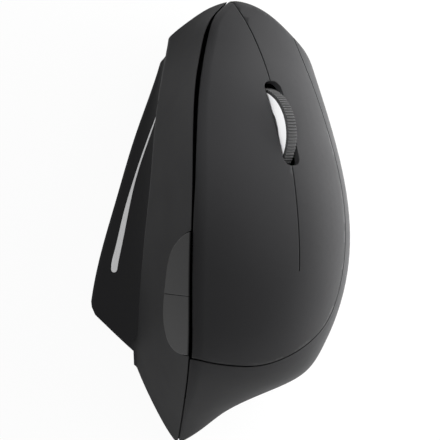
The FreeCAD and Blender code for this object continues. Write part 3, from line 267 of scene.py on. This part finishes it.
@dataclass(frozen=True)
class CellJacket(Finish):
    """Shrink jacket of a battery cell: dark, with a copper-coloured band at its nub's end.

    Attributes:
        band_colour: sRGB hex colour of the band.
        band_from: where along Y the band starts.
        band_side: the side of that place on which the band lies.
    """

    band_colour: str = "#b06a35"
    band_from: float = 0.0
    band_side: Side = Side.AHEAD

    def shader(self, tree: bpy.types.NodeTree) -> bpy.types.Node:
        """Builds the jacket's shader.

        Args:
            tree: the material's tree.

        Returns:
            The shader node.
        """
        shader = super().shader(tree)
        place = add(tree, "ShaderNodeTexCoord").outputs["Object"]
        along = add(tree, "ShaderNodeSeparateXYZ", {"Vector": place}).outputs["Y"]
        band = add(tree, "ShaderNodeMath", {0: along, 1: self.band_from}, operation=self.band_side.value)
        mix = add(tree, "ShaderNodeMix", {
            "Factor": band.outputs[0], "A": srgb(self.colour), "B": srgb(self.band_colour)},
            data_type="RGBA")
        tree.links.new(mix.outputs["Result"], shader.inputs["Base Color"])
        return shader


# Rubberised paint sprayed on ABS: dark grey rather than black. Its index is set low, as it hardly mirrors
# from above. Its grain, in truth finer than a tenth of a millimetre, is drawn coarser so that it shows
SOFT_TOUCH = Finish("soft_touch_paint_on_abs", "#2a2a2b", 0.5, ior=1.13, grain_mm=0.35, relief_mm=0.006,
                    mottle=0.025, edge_mm=0.35)
# ABS moulded in a polished tool, of the thumb buttons: near black, with clear reflections at flat angles only
GLOSS_BLACK = Finish("polished_black_abs", "#0e0e0f", 0.16, ior=1.15, grain_mm=2.0, relief_mm=0.002,
                     mottle=0.02, edge_mm=0.35)
# Silver paint sprayed on the strip: pale and satin, its flakes drawn coarser than real so that they show
SILVER_PAINT = Finish("satin_silver_paint", "#e9e9ea", 0.38, metallic=0.2, grain_mm=0.2, relief_mm=0.003,
                      mottle=0.04, edge_mm=0.15)
# White ABS moulded in a polished tool, of the wheel's core: bright, with clear reflections
WHITE_GLOSS = Finish("polished_white_abs", "#ededee", 0.16, grain_mm=2.0, relief_mm=0.001, mottle=0.02,
                     edge_mm=0.15)
# Moulded black rubber of the tyre: dull, with an uneven bloom
RUBBER = Finish("black_tyre_rubber", "#19191a", 0.62, ior=1.52, grain_mm=0.25, relief_mm=0.01, mottle=0.08,
                edge_mm=0.1)
# Black ABS moulded in a spark-eroded tool, of base plate, door and inner mouldings: evenly rough and dull
TEXTURED_ABS = Finish("textured_black_abs", "#1a1a1b", 0.55, grain_mm=0.3, relief_mm=0.02, mottle=0.04)
# Nickel-plated steel of screws, axle, contacts and plug: a warm, slightly cloudy shine
NICKEL_STEEL = Finish("nickel_plated_steel", "#c4c2bd", 0.28, metallic=1.0, grain_mm=0.15, relief_mm=0.002,
                      mottle=0.06, edge_mm=0.08)
# Green solder mask printed over glass-fibre board: a clear layer over a deep green
SOLDER_MASK = Finish("green_solder_mask", "#14502c", 0.32, ior=1.55, coat=0.3, grain_mm=0.8, relief_mm=0.004,
                     mottle=0.05, edge_mm=0.1)
# Moulded black epoxy of the chips: fine-grained and dull
CHIP_EPOXY = Finish("black_chip_epoxy", "#18181a", 0.6, grain_mm=0.12, relief_mm=0.006, mottle=0.05,
                    edge_mm=0.1)
# Moulded black PBT of the switch cases: a satin dark grey
SWITCH_PBT = Finish("black_switch_pbt", "#232326", 0.45, grain_mm=0.3, relief_mm=0.006, mottle=0.05,
                    edge_mm=0.15)
# Moulded white acetal of the plungers: warm white with a waxy shine
PLUNGER_ACETAL = Finish("white_acetal", "#e4e2da", 0.4, ior=1.48, grain_mm=0.4, relief_mm=0.003, edge_mm=0.1)
# Moulded green nylon of the encoder: even and dull
ENCODER_NYLON = Finish("green_nylon", "#2c6b3a", 0.5, ior=1.53, grain_mm=0.3, relief_mm=0.005, edge_mm=0.15)
# Clear polycarbonate of the lens, moulded in a polished tool: see-through and sharp
CLEAR_PC = Finish("clear_polycarbonate", "#f4f6f6", 0.04, ior=1.585, transmission=1.0, grain_mm=2.0,
                  relief_mm=0.0005, mottle=0.01, edge_mm=0.1)
# Laminated polyester film of the flat cables: cream with a soft shine
CABLE_FILM = Finish("polyester_cable_film", "#cfcabd", 0.35, grain_mm=0.6, relief_mm=0.004, edge_mm=0.05)
# Skived low-friction tape of the feet: dark grey, slightly waxy
SLICK_TAPE = Finish("ptfe_foot_tape", "#38383a", 0.3, ior=1.35, grain_mm=0.5, relief_mm=0.003, mottle=0.05,
                    edge_mm=0.2)


# Objects and meshes
def new_object(name: str, data: bpy.types.ID) -> bpy.types.Object:
    """Puts a mesh, light or camera in the scene.

    Args:
        name: the object's name.
        data: the mesh, light or camera.

    Returns:
        The object.
    """
    made = bpy.data.objects.new(name, data)
    bpy.context.scene.collection.objects.link(made)
    return made


def smooth(mesh: bpy.types.Mesh, sharp_degrees: float) -> None:
    """Shades a mesh smoothly, with edges sharper than the angle kept crisp.

    Args:
        mesh: the mesh.
        sharp_degrees: angle between faces from which an edge is crisp.
    """
    mesh.shade_smooth()
    mesh.set_sharp_from_angle(angle=math.radians(sharp_degrees))


def merged_copy(node: str) -> bpy.types.Mesh:
    """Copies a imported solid's mesh and joins its loose triangles.

    Args:
        node: the solid's node.

    Returns:
        The new mesh.
    """
    work = bmesh.new()
    work.from_mesh(frame["nodes"][node].data)
    bmesh.ops.remove_doubles(work, verts=work.verts, dist=MERGE_MM * MM)
    bmesh.ops.dissolve_degenerate(work, edges=work.edges, dist=MERGE_MM * MM)
    mesh = bpy.data.meshes.new(node + "_skin")
    work.to_mesh(mesh)
    work.free()
    return mesh


def evaluated_mesh(piece: bpy.types.Object) -> bpy.types.Mesh:
    """The mesh that an object has with its modifiers at work."""
    return bpy.data.meshes.new_from_object(piece.evaluated_get(bpy.context.evaluated_depsgraph_get()))


def settle_normals(piece: bpy.types.Object) -> None:
    """Lets large faces lead the shading, so that slender triangles at a seam leave no notches.

    Args:
        piece: an object whose mesh is smoothly shaded.
    """
    weighting = piece.modifiers.new("face_weighting", "WEIGHTED_NORMAL")
    weighting.mode = "FACE_AREA"
    weighting.keep_sharp = True
    shaded = evaluated_mesh(piece)
    piece.modifiers.clear()
    piece.data = shaded


def dress(node: str, finish: Finish) -> None:
    """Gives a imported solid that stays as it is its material.

    Args:
        node: the solid's node.
        finish: its surface.
    """
    target = frame["nodes"][node]
    target.data.materials.clear()
    target.data.materials.append(finish.material())
    log.info("dressed %s in %s", node, finish.name)


def dress_all(finishes: dict[str, Finish]) -> None:
    """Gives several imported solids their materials.

    Args:
        finishes: node to surface.
    """
    for node, finish in finishes.items():
        dress(node, finish)


def body_of(node: str) -> str:
    """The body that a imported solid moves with."""
    return frame["nodes"][node]["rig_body"]


def stand_for(piece: bpy.types.Object, node: str) -> None:
    """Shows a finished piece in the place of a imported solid.

    Args:
        piece: the finished piece.
        node: the solid that it stands for.
    """
    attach(piece, body_of(node))
    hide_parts(node)
    log.info("made %s for %s", piece.name, node)


@dataclass
class Skin:
    """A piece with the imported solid's own form, smoothly shaded.

    Attributes:
        node: the solid.
        name: the piece's name.
        finish: its surface.
        sharp_degrees: angle from which its edges are crisp.
        unbroken_toward: direction in which it ends flat against a neighbour with no visible edge, if any.
    """

    node: str
    name: str
    finish: Finish
    sharp_degrees: float = 24.0
    unbroken_toward: Vector | None = None

    def mark_unbroken(self, mesh: bpy.types.Mesh) -> None:
        """Marks the corners at the end that meets the neighbour.

        Args:
            mesh: the piece's mesh.
        """
        reach = [corner.co.dot(self.unbroken_toward) for corner in mesh.vertices]
        end = max(reach) - UNBROKEN_MM * MM
        marks = mesh.attributes.new(UNBROKEN, "FLOAT", "POINT")
        for mark, place in zip(marks.data, reach):
            mark.value = 1.0 if place > end else 0.0

    def build(self) -> None:
        """Makes the piece and puts it in the solid's place."""
        mesh = merged_copy(self.node)
        if self.unbroken_toward:
            self.mark_unbroken(mesh)
        smooth(mesh, self.sharp_degrees)
        mesh.materials.append(self.finish.material())
        piece = new_object(self.name, mesh)
        settle_normals(piece)
        stand_for(piece, self.node)


# The mouse
@dataclass
class Housing:
    """Outer shells, inner frame, base plate with its feet, screws and strip.

    Attributes:
        skins: the pieces that are smoothly shaded.
        plain: the other pieces with their surfaces.
    """

    skins: list[Skin] = field(default_factory=lambda: [
        Skin("palm_lower_shell", "palm_side_skin", SOFT_TOUCH),
        Skin("palm_cover", "hand_rest_skin", SOFT_TOUCH, unbroken_toward=AHEAD),
        Skin("accent_strip", "silver_strip_skin", SILVER_PAINT)])
    plain: dict[str, Finish] = field(default_factory=lambda: {
        "thumb_shell": SOFT_TOUCH,
        "base_plate": TEXTURED_ABS,
        "glide_feet": SLICK_TAPE,
        "base_screws": NICKEL_STEEL,
        "inner_frame": TEXTURED_ABS,
        "board_screws": NICKEL_STEEL})

    def build(self) -> None:
        """Makes the skins and dresses what stays plain."""
        for skin in self.skins:
            skin.build()
        dress_all(self.plain)


@dataclass
class Buttons:
    """The two keys, which go on into the hand rest, and the two thumb buttons.

    Attributes:
        keys: the keys' nodes.
        thumb_buttons: the thumb buttons' nodes.
    """

    keys: tuple[str, ...] = ("left_key", "right_key")
    thumb_buttons: tuple[str, ...] = ("thumb_button_forward", "thumb_button_back")

    def build(self) -> None:
        """Makes the keys' skins and dresses the thumb buttons."""
        for node in self.keys:
            Skin(node, node + "_skin", SOFT_TOUCH, unbroken_toward=-AHEAD).build()
        for node in self.thumb_buttons:
            dress(node, GLOSS_BLACK)


@dataclass
class Wheel:
    """Scroll wheel: white core and a rubber tyre with fine ribs across it. Its sizes are in millimetres.

    Attributes:
        radius: to the tops of the ribs.
        tyre_depth: thickness of the rubber.
        tyre_width: width of the rubber.
        shoulder: size of the rounding at the rubber's edges.
        shoulder_drop: how far the rounding's middle lies under the tread, as a share of its size.
        shoulder_inset: how far it lies in from the tyre's side, as a share of its size.
        ring_steps: flat stretches round the ring.
        rib_count: ribs round the wheel.
        rib_radius: half thickness of a rib.
        rib_sides: sides of a rib's section.
        sharp_degrees: angle from which the tyre's edges are crisp.
        plain: the other pieces with their surfaces.
    """

    radius: float = 12.5
    tyre_depth: float = 0.8
    tyre_width: float = 3.2
    shoulder: float = 0.25
    shoulder_drop: float = 0.3
    shoulder_inset: float = 0.25
    ring_steps: int = 192
    rib_count: int = 96
    rib_radius: float = 0.27
    rib_sides: int = 8
    sharp_degrees: float = 50.0
    plain: dict[str, Finish] = field(default_factory=lambda: {
        "wheel_axle": NICKEL_STEEL,
        "wheel_carrier": TEXTURED_ABS,
        "scroll_encoder": ENCODER_NYLON})

    def place(self) -> Matrix:
        """The wheel's frame.

        Returns:
            Its axle along local Z, at the joint's place.
        """
        joint = next(j for j in frame["joints"] if j["name"] == "wheel_turn")
        turn = Vector(joint["axis"]).to_track_quat("Z", "Y").to_matrix().to_4x4()
        return Matrix.Translation(Vector(joint["pos_m"])) @ turn

    def section(self) -> list[tuple[float, float]]:
        """The ring's section.

        Returns:
            Radius and height along the axle of each corner, in millimetres.
        """
        low = self.radius - self.tyre_depth
        high = self.radius - self.rib_radius
        half = self.tyre_width / 2.0
        middle = (high - self.shoulder_drop * self.shoulder, half - self.shoulder_inset * self.shoulder)
        upper = [(low, half), (high - self.shoulder, half), middle, (high, half - self.shoulder)]
        return [(radius, -height) for radius, height in upper] + upper[::-1]

    def ring(self) -> bpy.types.Mesh:
        """The rubber's ring under the ribs.

        Returns:
            The mesh, turned about Z.
        """
        section = self.section()
        work = bmesh.new()
        rows = []
        for step in range(self.ring_steps):
            angle = 2.0 * math.pi * step / self.ring_steps
            rows.append([work.verts.new((r * MM * math.cos(angle), r * MM * math.sin(angle), z * MM))
                         for r, z in section])
        for step, row in enumerate(rows):
            after = rows[(step + 1) % self.ring_steps]
            for i in range(len(section)):
                j = (i + 1) % len(section)
                work.faces.new((row[i], after[i], after[j], row[j]))
        bmesh.ops.recalc_face_normals(work, faces=work.faces)
        mesh = bpy.data.meshes.new("tyre_ring")
        work.to_mesh(mesh)
        work.free()
        return mesh

    def ribs(self) -> bpy.types.NodeTree:
        """Geometry nodes that stand the ribs round the ring and join both.

        Returns:
            Their tree, with the ribs' sizes and material as inputs.
        """
        tree = bpy.data.node_groups.new("tyre_ribs", "GeometryNodeTree")
        face = tree.interface
        face.new_socket("Geometry", in_out="OUTPUT", socket_type="NodeSocketGeometry")
        for name, kind in (("Geometry", "Geometry"), ("Rib Count", "Int"), ("Ring Radius", "Float"),
                           ("Rib Radius", "Float"), ("Rib Length", "Float"), ("Rubber", "Material")):
            face.new_socket(name, in_out="INPUT", socket_type="NodeSocket" + kind)
        given = add(tree, "NodeGroupInput").outputs
        circle = add(tree, "GeometryNodeMeshCircle", {
            "Vertices": given["Rib Count"], "Radius": given["Ring Radius"]})
        rib = add(tree, "GeometryNodeMeshCylinder", {
            "Vertices": self.rib_sides, "Radius": given["Rib Radius"], "Depth": given["Rib Length"]})
        stood = add(tree, "GeometryNodeInstanceOnPoints", {
            "Points": circle.outputs["Mesh"], "Instance": rib.outputs["Mesh"]})
        real = add(tree, "GeometryNodeRealizeInstances", {"Geometry": stood.outputs["Instances"]})
        both = add(tree, "GeometryNodeJoinGeometry")
        tree.links.new(given["Geometry"], both.inputs["Geometry"])
        tree.links.new(real.outputs["Geometry"], both.inputs["Geometry"])
        dressed = add(tree, "GeometryNodeSetMaterial", {
            "Geometry": both.outputs["Geometry"], "Material": given["Rubber"]})
        add(tree, "NodeGroupOutput", {"Geometry": dressed.outputs["Geometry"]})
        return tree

    def tyre(self) -> bpy.types.Mesh:
        """The ribbed tyre.

        Returns:
            Its mesh, in its place on the wheel.
        """
        raw = new_object("tyre_raw", self.ring())
        grown = raw.modifiers.new("ribs", "NODES")
        grown.node_group = self.ribs()
        inputs = {item.name: item.identifier for item in grown.node_group.interface.items_tree
                  if item.in_out == "INPUT"}
        grown[inputs["Rib Count"]] = self.rib_count
        grown[inputs["Ring Radius"]] = (self.radius - self.rib_radius) * MM
        grown[inputs["Rib Radius"]] = self.rib_radius * MM
        grown[inputs["Rib Length"]] = (self.tyre_width - self.shoulder) * MM
        grown[inputs["Rubber"]] = RUBBER.material()
        raw.update_tag()
        mesh = evaluated_mesh(raw)
        bpy.data.objects.remove(raw)
        mesh.transform(self.place())
        smooth(mesh, self.sharp_degrees)
        return mesh

    def build(self) -> None:
        """Makes the core's skin and the tyre, and dresses the parts that carry and read the wheel."""
        Skin("wheel_core", "wheel_core_skin", WHITE_GLOSS).build()
        stand_for(new_object("ribbed_tyre", self.tyre()), "wheel_tyre")
        dress_all(self.plain)


@dataclass
class Electronics:
    """Boards, switches, chips, lens and cables inside the mouse.

    Attributes:
        plain: the pieces other than the microswitches, with their surfaces.
        switches: what each microswitch is named after. Each has a case and a plunger.
    """

    plain: dict[str, Finish] = field(default_factory=lambda: {
        "upper_board": SOLDER_MASK,
        "thumb_board": SOLDER_MASK,
        "main_board": SOLDER_MASK,
        "sensor_chip": CHIP_EPOXY,
        "controller_chip": CHIP_EPOXY,
        "sensor_lens": CLEAR_PC,
        "upper_ribbon": CABLE_FILM,
        "thumb_ribbon": CABLE_FILM,
        "power_switch_body": SWITCH_PBT,
        "power_switch_knob": TEXTURED_ABS})
    switches: tuple[str, ...] = ("left", "right", "middle", "forward", "back")

    def build(self) -> None:
        """Dresses every piece."""
        dress_all(self.plain)
        for name in self.switches:
            dress(name + "_switch", SWITCH_PBT)
            dress(name + "_plunger", PLUNGER_ACETAL)


@dataclass
class Power:
    """Battery cells with their contacts and door, and the stowed receiver.

    Attributes:
        jacket_colour: sRGB hex colour of a cell's jacket.
        jacket_roughness: roughness of the jacket.
        jacket_metallic: how metallic the jacket's print is.
        band_mm: width of the coloured band on a cell.
        plain: the other pieces with their surfaces.
    """

    jacket_colour: str = "#232325"
    jacket_roughness: float = 0.3
    jacket_metallic: float = 0.4
    band_mm: float = 11.0
    plain: dict[str, Finish] = field(default_factory=lambda: {
        "battery_contacts": NICKEL_STEEL,
        "battery_door": TEXTURED_ABS,
        "receiver_body": TEXTURED_ABS,
        "receiver_plug": NICKEL_STEEL})

    def jacket(self, name: str, band_from: float, band_side: Side) -> CellJacket:
        """The surface of one cell.

        Args:
            name: the material's name.
            band_from: where along Y the band starts.
            band_side: the side of that place on which it lies.

        Returns:
            The finish.
        """
        return CellJacket(name, self.jacket_colour, self.jacket_roughness, metallic=self.jacket_metallic,
                          band_from=band_from, band_side=band_side)

    def build(self) -> None:
        """Dresses the cells, which lie head to tail, the contacts, door and receiver."""
        low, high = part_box("battery_left")
        dress("battery_left", self.jacket("left_cell_jacket", high.y - self.band_mm * MM, Side.AHEAD))
        dress("battery_right", self.jacket("right_cell_jacket", low.y + self.band_mm * MM, Side.BEHIND))
        dress_all(self.plain)


# The studio
@dataclass(frozen=True)
class Lamp:
    """A square soft lamp.

    Attributes:
        name: the lamp's name.
        at: its place.
        toward: the point that it faces.
        side: length of its face's sides.
        watts: its power.
    """

    name: str
    at: Point
    toward: Point
    side: float
    watts: float

    def light(self) -> bpy.types.Light:
        """The square light.

        Returns:
            The light, without its power.
        """
        data = bpy.data.lights.new(self.name, "AREA")
        data.shape = "SQUARE"
        data.size = self.side
        return data

    def build(self) -> None:
        """Puts the lamp in its place."""
        data = self.light()
        data.energy = self.watts
        made = new_object(self.name, data)
        made.location = self.at
        made.rotation_euler = (Vector(self.toward) - Vector(self.at)).to_track_quat("-Z", "Y").to_euler()


@dataclass(frozen=True)
class Spot(Lamp):
    """A narrow lamp, round, with a soft-edged beam. Its side is its diameter.

    Attributes:
        beam_degrees: full angle of the beam.
    """

    beam_degrees: float

    def light(self) -> bpy.types.Light:
        """The narrow light.

        Returns:
            The light, without its power.
        """
        data = bpy.data.lights.new(self.name, "SPOT")
        data.spot_size = math.radians(self.beam_degrees)
        data.spot_blend = 1.0
        data.shadow_soft_size = self.side / 2.0
        return data


# Low down, ahead on the palm side: brightens what faces that way
FRONT_SOFTBOX = Lamp("front_softbox", at=(0.6, 0.8, 0.05), toward=(0.0, 0.0, 0.03), side=0.3, watts=5.0)
# Low over the paper on the palm side and facing down: bright paper there is what the palm side mirrors
PAPER_LAMP = Lamp("paper_lamp", at=(0.17, 0.03, 0.05), toward=(0.17, 0.03, 0.0), side=0.2, watts=0.8)
FRONT_PAPER_LAMP = Lamp("front_paper_lamp", at=(0.14, 0.13, 0.05), toward=(0.14, 0.13, 0.0), side=0.15,
                        watts=0.6)
HIGH_PAPER_LAMP = Lamp("high_paper_lamp", at=(0.2, 0.03, 0.12), toward=(0.2, 0.03, 0.0), side=0.2, watts=0.5)
# From high up, ahead on the thumb side, onto the side of the wheel's core
WHEEL_SPOT = Spot("wheel_spot", at=(-0.105, 0.118, 0.523), toward=(0.0145, 0.0269, 0.0456), side=0.04,
                  watts=12.0, beam_degrees=6.0)


@dataclass
class Studio:
    """Floor, lamps and camera of the photograph.

    Attributes:
        camera_height: of the lens above the table.
        view_width: width of the table that the picture shows.
        aim: point of the table under the camera.
        sensor_mm: width of the camera's sensor, in millimetres.
        nearest: distance from which the camera sees.
        air: brightness of the light that comes from all round.
        floor_reach: from the middle of the floor to its edges.
        paper_colour: sRGB hex colour of the floor where it is lit.
        paper_glow: share of the floor's look that is plain white, the rest being its own lit surface.
        mirrored_glow: how much of that share is left in reflections.
        lamps: the lamps.
    """

    camera_height: float = 0.55
    view_width: float = 0.1241
    aim: tuple[float, float] = (0.00045, 0.0016)
    sensor_mm: float = 36.0
    nearest: float = 0.01
    air: float = 0.6
    floor_reach: float = 3.0
    paper_colour: str = "#f4f4f4"
    paper_glow: float = 0.94
    mirrored_glow: float = 0.3
    lamps: tuple[Lamp, ...] = (FRONT_SOFTBOX, PAPER_LAMP, FRONT_PAPER_LAMP, HIGH_PAPER_LAMP, WHEEL_SPOT)

    def paper(self) -> bpy.types.Material:
        """The floor's material: white to the camera and through clear plastic, clear from below.

        Returns:
            The material. Reflections see less of the white, and other rays see lit paper that takes shadows.
        """
        made = new_material("studio_paper")
        tree = made.node_tree
        path = add(tree, "ShaderNodeLightPath").outputs
        mirrored = add(tree, "ShaderNodeMath", {0: path["Is Glossy Ray"], 1: self.mirrored_glow},
                       operation="MULTIPLY")
        direct = add(tree, "ShaderNodeMath", {0: path["Is Camera Ray"], 1: mirrored.outputs[0]},
                     operation="MAXIMUM")
        seen = add(tree, "ShaderNodeMath", {0: direct.outputs[0], 1: path["Is Transmission Ray"]},
                   operation="MAXIMUM")
        share = add(tree, "ShaderNodeMath", {0: seen.outputs[0], 1: self.paper_glow}, operation="MULTIPLY")
        lit = add(tree, "ShaderNodeBsdfDiffuse", {"Color": srgb(self.paper_colour)})
        glow = add(tree, "ShaderNodeEmission", {"Color": WHITE, "Strength": 1.0})
        above = add(tree, "ShaderNodeMixShader", {0: share.outputs[0], 1: lit.outputs[0], 2: glow.outputs[0]})
        side = add(tree, "ShaderNodeNewGeometry")
        clear = add(tree, "ShaderNodeBsdfTransparent")
        sheet = add(tree, "ShaderNodeMixShader", {
            0: side.outputs["Backfacing"], 1: above.outputs[0], 2: clear.outputs[0]})
        add(tree, "ShaderNodeOutputMaterial", {"Surface": sheet.outputs[0]})
        return made

    def floor(self) -> None:
        """A large flat sheet of paper on the table."""
        mesh = bpy.data.meshes.new("studio_floor")
        reach = self.floor_reach
        corners = [(-reach, -reach, 0), (reach, -reach, 0), (reach, reach, 0), (-reach, reach, 0)]
        mesh.from_pydata(corners, [], [(0, 1, 2, 3)])
        mesh.materials.append(self.paper())
        new_object("studio_floor", mesh)

    def world(self) -> None:
        """Even soft light all round."""
        sky = bpy.data.worlds.new("studio_air")
        sky.use_nodes = True
        tree = sky.node_tree
        tree.nodes.clear()
        air = add(tree, "ShaderNodeBackground", {"Color": WHITE, "Strength": self.air})
        add(tree, "ShaderNodeOutputWorld", {"Surface": air.outputs[0]})
        bpy.context.scene.world = sky

    def camera(self) -> None:
        """The camera straight above, the nose at the picture's top."""
        data = bpy.data.cameras.new("overhead_camera")
        data.sensor_width = self.sensor_mm
        data.lens = data.sensor_width * self.camera_height / self.view_width
        data.clip_start = self.nearest
        made = new_object("overhead_camera", data)
        made.location = (self.aim[0], self.aim[1], self.camera_height)
        bpy.context.scene.camera = made

    def build(self) -> None:
        """Sets up floor, light and camera."""
        self.floor()
        self.world()
        for lamp in self.lamps:
            lamp.build()
        self.camera()
        bpy.context.scene.view_settings.view_transform = "Standard"


def main() -> None:
    """Dresses the mouse and sets up the studio."""
    logging.basicConfig(level=logging.INFO, format="%(name)s: %(message)s")
    for group in (Studio(), Housing(), Buttons(), Wheel(), Electronics(), Power()):
        group.build()
        log.info("%s done", type(group).__name__)


if __name__ == "__main__":
    main()
